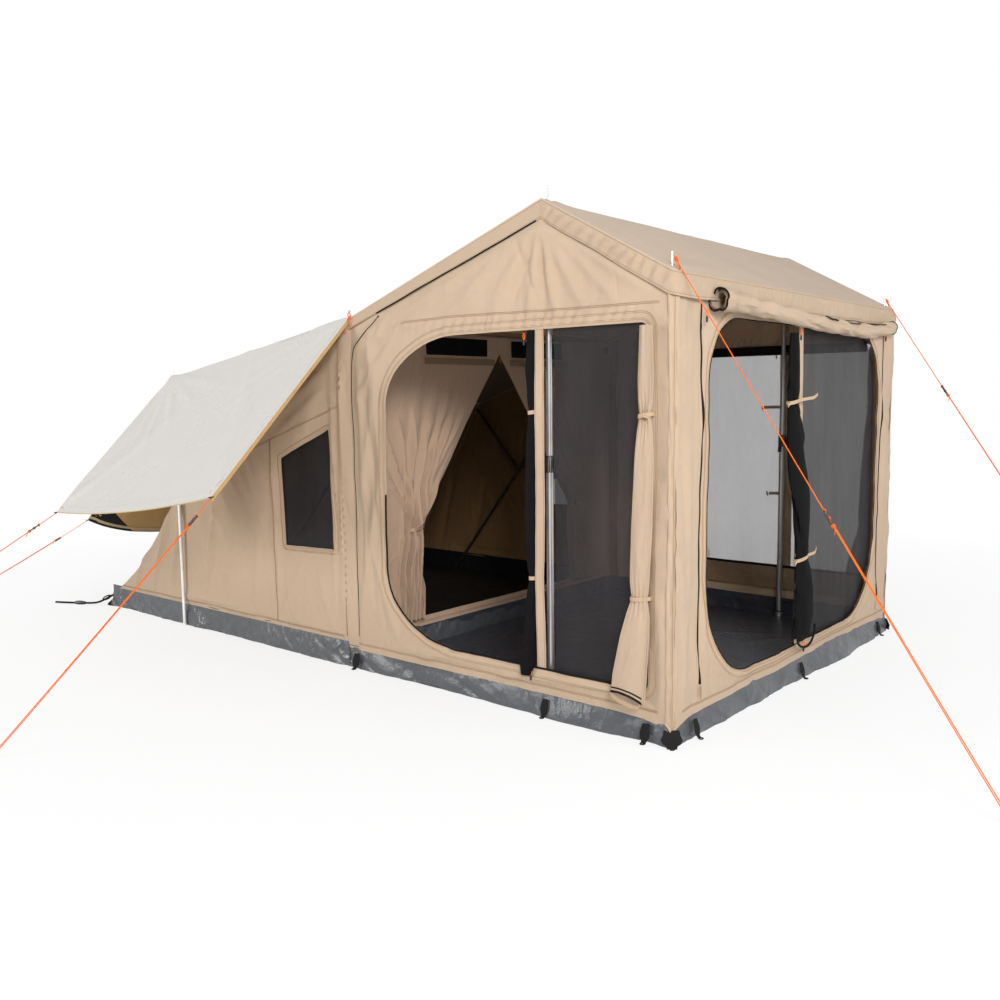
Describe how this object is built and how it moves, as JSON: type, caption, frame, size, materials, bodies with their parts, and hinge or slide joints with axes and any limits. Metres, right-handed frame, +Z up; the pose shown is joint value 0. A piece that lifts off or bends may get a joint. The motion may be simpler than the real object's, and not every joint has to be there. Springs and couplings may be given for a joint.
{
  "type": "tent",
  "caption": "Canvas touring tent: folding side frame, gabled front room on telescopic poles, net doors, tied-back curtains, fly sheet on two poles, guy ropes",
  "frame": {"origin": "middle of the two ground sheets' footprint, on the ground", "axes": "+Z up, +Y from the front door to the back, +X to the right of someone who looks along +Y"},
  "size_m": [5.7778, 7.1254, 2.205],
  "materials": {
    "canvas": "woven ripstop canvas, matt",
    "lining": "canvas in the shade of the tent, matt",
    "net": "fine insect net",
    "ground_sheet": "coated ground sheet cloth, slight sheen",
    "fly_cloth": "silver coated fly cloth",
    "frame_tube": "dark anodised tube",
    "silver_tube": "plain anodised tube",
    "black_plastic": "moulded plastic",
    "rope": "braided cord"
  },
  "bodies": {
    "root": {"main_roof": "canvas", "main_rear_wall": "canvas", "main_wall_left": "canvas", "main_wall_right": "canvas", "awning_roof": "canvas", "side_panel_left": "canvas", "side_panel_right": "canvas", "front_panel": "canvas", "door_flap_left": "canvas", "door_flap_right": "canvas", "door_roll_front": "canvas", "main_front_wall": "lining", "inner_curtain_left": "lining", "inner_curtain_right": "lining", "window_mesh_left": "net", "window_mesh_right": "net", "door_mesh_left": "net", "door_mesh_right": "net", "door_mesh_front": "net", "mesh_roll_left": "net", "mesh_roll_front": "net", "main_floor": "ground_sheet", "room_floor": "ground_sheet", "fly_sheet": "fly_cloth", "front_leg_left": "frame_tube", "front_leg_right": "frame_tube", "front_bar": "frame_tube", "knuckle_left": "black_plastic", "knuckle_right": "black_plastic", "ridge_pole_lower_left": "silver_tube", "ridge_pole_lower_right": "silver_tube", "corner_pole_lower_left": "silver_tube", "corner_pole_lower_right": "silver_tube", "fly_pole_left": "silver_tube", "fly_pole_right": "silver_tube", "guy_rope_awning_left": "rope", "guy_rope_awning_right": "rope", "guy_rope_wing_front_left": "rope", "guy_rope_wing_front_right": "rope", "guy_rope_wing_rear_left": "rope", "guy_rope_wing_rear_right": "rope", "guy_rope_tail_left": "rope", "guy_rope_tail_right": "rope"},
    "ridge_upper_left": {"ridge_pole_upper_left": "silver_tube"},
    "ridge_upper_right": {"ridge_pole_upper_right": "silver_tube"},
    "corner_upper_left": {"corner_pole_upper_left": "silver_tube"},
    "corner_upper_right": {"corner_pole_upper_right": "silver_tube"},
    "lever_left": {"ridge_lever_left": "black_plastic"},
    "lever_right": {"ridge_lever_right": "black_plastic"},
    "brace_upper": {"brace_upper_left": "frame_tube", "brace_upper_right": "frame_tube"},
    "brace_lower": {"brace_lower_left": "frame_tube", "brace_lower_right": "frame_tube"},
    "hoop": {"rear_hoop": "frame_tube"},
    "zip_left": {"zip_slider_left": "black_plastic"},
    "zip_right": {"zip_slider_right": "black_plastic"},
    "grip_awning_left": {"tensioner_awning_left": "black_plastic"},
    "grip_awning_right": {"tensioner_awning_right": "black_plastic"},
    "grip_wing_left": {"tensioner_wing_front_left": "black_plastic"},
    "grip_tail_left": {"tensioner_tail_left": "black_plastic"}
  },
  "joints": [
    {"name": "awning_height", "type": "slide", "parent": "root", "child": "ridge_upper_left", "axis": [0, 0, 1], "range_m": [-0.5, 0], "deforming": ["guy_rope_awning_left", "guy_rope_awning_right"]},
    {"name": "ridge_height_right", "type": "slide", "parent": "root", "child": "ridge_upper_right", "axis": [0, 0, 1], "range_m": [-0.5, 0]},
    {"name": "corner_height_left", "type": "slide", "parent": "root", "child": "corner_upper_left", "axis": [0, 0, 1], "range_m": [-0.5, 0]},
    {"name": "corner_height_right", "type": "slide", "parent": "root", "child": "corner_upper_right", "axis": [0, 0, 1], "range_m": [-0.5, 0]},
    {"name": "lever_turn_left", "type": "hinge", "parent": "root", "child": "lever_left", "pos_m": [-1.1227, -1.5205, 1.0843], "axis": [0, -1, 0], "range_deg": [0, 90]},
    {"name": "lever_turn_right", "type": "hinge", "parent": "root", "child": "lever_right", "pos_m": [1.1227, -1.5205, 1.0843], "axis": [0, 1, 0], "range_deg": [0, 90]},
    {"name": "frame_fold", "type": "hinge", "parent": "root", "child": "brace_upper", "pos_m": [0, -0.2085, 1.67], "axis": [-1, 0, 0], "range_deg": [0, 40], "deforming": ["main_roof", "main_rear_wall"]},
    {"name": "brace_fold", "type": "hinge", "parent": "brace_upper", "child": "brace_lower", "pos_m": [0, 0.5015, 0.835], "axis": [1, 0, 0], "range_deg": [0, 178], "deforming": ["main_roof", "main_rear_wall"]},
    {"name": "hoop_fold", "type": "hinge", "parent": "brace_upper", "child": "hoop", "pos_m": [0, 0.5015, 0.835], "axis": [1, 0, 0], "range_deg": [0, 84], "deforming": ["main_roof", "main_rear_wall"]},
    {"name": "zip_run_left", "type": "slide", "parent": "ridge_upper_left", "child": "zip_left", "axis": [0, 0, -1], "range_m": [0, 1.1]},
    {"name": "zip_run_right", "type": "slide", "parent": "ridge_upper_left", "child": "zip_right", "axis": [0, 0, -1], "range_m": [0, 1.1]},
    {"name": "grip_drop_awning_left", "type": "slide", "parent": "root", "child": "grip_awning_left", "axis": [0, 0, 1], "range_m": [-0.25, 0]},
    {"name": "grip_drop_awning_right", "type": "slide", "parent": "root", "child": "grip_awning_right", "axis": [0, 0, 1], "range_m": [-0.365, 0]},
    {"name": "grip_slide_wing_left", "type": "slide", "parent": "root", "child": "grip_wing_left", "axis": [-0.6757, 0.1607, -0.7194], "range_m": [-0.05, 0.3], "deforming": ["guy_rope_wing_front_left"]},
    {"name": "grip_slide_tail_left", "type": "slide", "parent": "root", "child": "grip_tail_left", "axis": [-0.1286, 0.9114, -0.391], "range_m": [-0.2, 0.4], "deforming": ["guy_rope_tail_left"]}
  ],
  "couplings": [
    {"joint": "ridge_height_right", "follows": "awning_height", "ratio": 1},
    {"joint": "corner_height_left", "follows": "awning_height", "ratio": 1},
    {"joint": "corner_height_right", "follows": "awning_height", "ratio": 1},
    {"joint": "grip_drop_awning_left", "follows": "awning_height", "ratio": 0.5},
    {"joint": "grip_drop_awning_right", "follows": "awning_height", "ratio": 0.73},
    {"joint": "brace_fold", "follows": "frame_fold", "ratio": 4.45},
    {"joint": "hoop_fold", "follows": "frame_fold", "ratio": 2.1}
  ]
}
